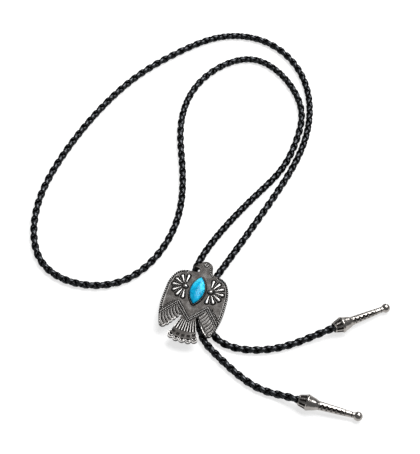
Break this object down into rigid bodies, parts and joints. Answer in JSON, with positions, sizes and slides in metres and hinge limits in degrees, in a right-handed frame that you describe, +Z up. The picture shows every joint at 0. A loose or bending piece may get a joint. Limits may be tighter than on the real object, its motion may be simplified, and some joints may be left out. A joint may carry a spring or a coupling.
{
  "type": "bolo tie",
  "caption": "Bolo tie: a cast thunderbird slide with a turquoise cabochon on a round braided leather cord with turned metal tips.",
  "frame": {"origin": "on the surface that the tie lies on, below the middle of the slide's outline", "axes": "+Y from the bird's tail to its head, +X across the wings to the right as seen from the front, +Z up out of the slide's face"},
  "size_m": [0.2184, 0.2473, 0.0104],
  "materials": {
    "antique_silver": "cast zinc alloy, oxidised dark grey in the recesses and polished on the raised ornament",
    "turquoise": "polished blue stone with darker veins",
    "plain_steel": "plain bent strip, hidden behind the slide",
    "black_leather": "round braid of black lace with a soft sheen",
    "tip_silver": "antique silver plate with dark stamped marks"
  },
  "bodies": {
    "root": {"slide_plate": "antique_silver", "stone": "turquoise", "cord_clip": "plain_steel", "cord": "black_leather", "tip_lower": "tip_silver", "tip_upper": "tip_silver"}
  },
  "joints": []
}
